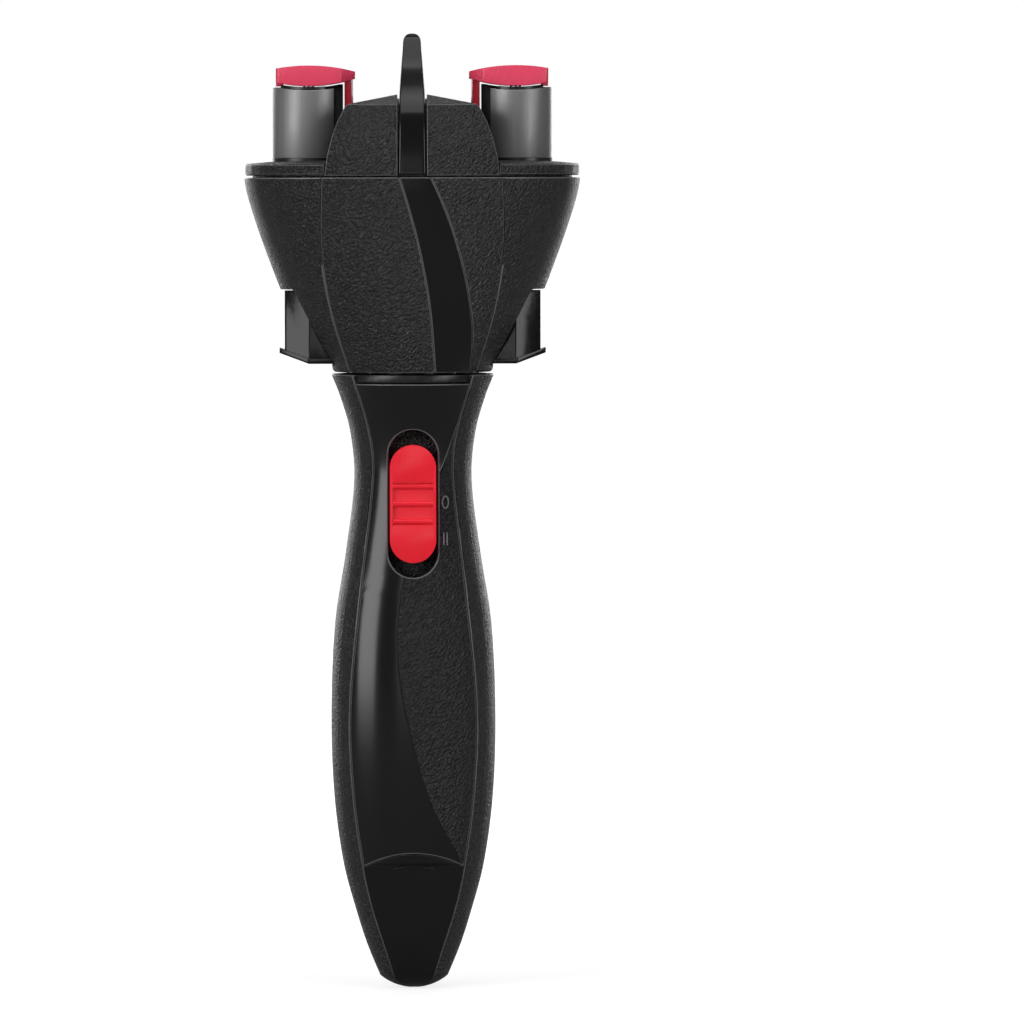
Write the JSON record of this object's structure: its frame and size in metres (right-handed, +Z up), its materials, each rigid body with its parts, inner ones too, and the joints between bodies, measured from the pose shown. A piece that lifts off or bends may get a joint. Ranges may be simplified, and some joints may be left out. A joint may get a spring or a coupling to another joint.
{
  "type": "automatic hair braider",
  "caption": "Battery hair braider: waisted handle with a slide switch and a turning tulip head that carries spinning strand tubes with sprung hooks.",
  "frame": {"origin": "lowest point of the tail, on the axis of the handle and head", "axes": "+Z up the handle to the hooks, -Y out of the front panel with the switch, +X towards the right strand tube as seen from the front"},
  "size_m": [0.0846, 0.056, 0.2405],
  "materials": {
    "grained_black": "fine grained",
    "gloss_black": "polished",
    "dark_insert": "satin",
    "tube_grey": "satin",
    "red": "semi-gloss",
    "natural_plastic": "moulded acetal",
    "circuit_board": "solder mask",
    "steel": "plain steel",
    "nickel": "nickel plate",
    "lead_sleeve": "pvc sleeve",
    "cell_jacket": "printed film"
  },
  "bodies": {
    "handle": {"rear_shell": "grained_black", "front_panel": "gloss_black", "tail_panel": "gloss_black", "collar_ring": "dark_insert", "switch_floor": "dark_insert", "slide_switch": "steel", "circuit_board": "circuit_board", "motor": "steel", "motor_pinion": "natural_plastic", "gearbox": "natural_plastic", "motor_bracket": "natural_plastic", "battery_left": "cell_jacket", "battery_right": "cell_jacket", "battery_tray": "dark_insert", "battery_contacts": "nickel", "contact_springs": "nickel", "battery_leads": "lead_sleeve", "handle_screws": "steel"},
    "switch": {"switch_slider": "red"},
    "cover": {"battery_cover": "grained_black"},
    "head": {"head_base": "dark_insert", "head_clip": "steel", "head_chassis": "natural_plastic", "head_front_panel": "grained_black", "head_rear_panel": "grained_black", "side_shell_left": "grained_black", "side_shell_right": "grained_black", "swoosh_trim": "gloss_black", "top_plate": "grained_black", "centre_shield": "grained_black", "divider": "gloss_black", "head_screws": "steel"},
    "drive": {"drive_shaft": "steel", "sun_gear": "natural_plastic"},
    "spindle_left": {"spindle_core_left": "dark_insert", "spindle_gear_left": "natural_plastic", "strand_tube_left": "tube_grey", "hook_spring_left": "steel"},
    "hook_left": {"hook_left": "red", "hook_stem_left": "steel"},
    "pusher_left": {"pusher_left": "gloss_black"},
    "spindle_right": {"spindle_core_right": "dark_insert", "spindle_gear_right": "natural_plastic", "strand_tube_right": "tube_grey", "hook_spring_right": "steel"},
    "hook_right": {"hook_right": "red", "hook_stem_right": "steel"},
    "pusher_right": {"pusher_right": "gloss_black"}
  },
  "joints": [
    {"name": "switch_slide", "type": "slide", "parent": "handle", "child": "switch", "axis": [0, 0, 1], "range_m": [-0.003, 0.003]},
    {"name": "battery_cover_off", "type": "slide", "parent": "handle", "child": "cover", "axis": [0, 1, 0], "range_m": [0, 0.02]},
    {"name": "head_spin", "type": "hinge", "parent": "handle", "child": "head", "pos_m": [0, 0, 0.1556], "axis": [0, 0, 1], "continuous": true},
    {"name": "sun_spin", "type": "hinge", "parent": "head", "child": "drive", "pos_m": [0, 0, 0.1962], "axis": [0, 0, 1], "continuous": true},
    {"name": "spindle_left_spin", "type": "hinge", "parent": "head", "child": "spindle_left", "pos_m": [-0.026, 0, 0.19], "axis": [0, 0, 1], "continuous": true},
    {"name": "hook_left_lift", "type": "slide", "parent": "spindle_left", "child": "hook_left", "axis": [0, 0, 1], "range_m": [0, 0.007], "stiffness_N_per_m": 400, "springref_m": -0.004, "deforming": ["hook_spring_left"]},
    {"name": "pusher_left_press", "type": "slide", "parent": "head", "child": "pusher_left", "axis": [0, 0, 1], "range_m": [0, 0.007]},
    {"name": "spindle_right_spin", "type": "hinge", "parent": "head", "child": "spindle_right", "pos_m": [0.026, 0, 0.19], "axis": [0, 0, 1], "continuous": true},
    {"name": "hook_right_lift", "type": "slide", "parent": "spindle_right", "child": "hook_right", "axis": [0, 0, 1], "range_m": [0, 0.007], "stiffness_N_per_m": 400, "springref_m": -0.004, "deforming": ["hook_spring_right"]},
    {"name": "pusher_right_press", "type": "slide", "parent": "head", "child": "pusher_right", "axis": [0, 0, 1], "range_m": [0, 0.007]}
  ],
  "couplings": [
    {"joint": "spindle_left_spin", "follows": "sun_spin", "ratio": -1.4074},
    {"joint": "hook_left_lift", "follows": "pusher_left_press", "ratio": 1},
    {"joint": "spindle_right_spin", "follows": "sun_spin", "ratio": -1.4074},
    {"joint": "hook_right_lift", "follows": "pusher_right_press", "ratio": 1}
  ]
}
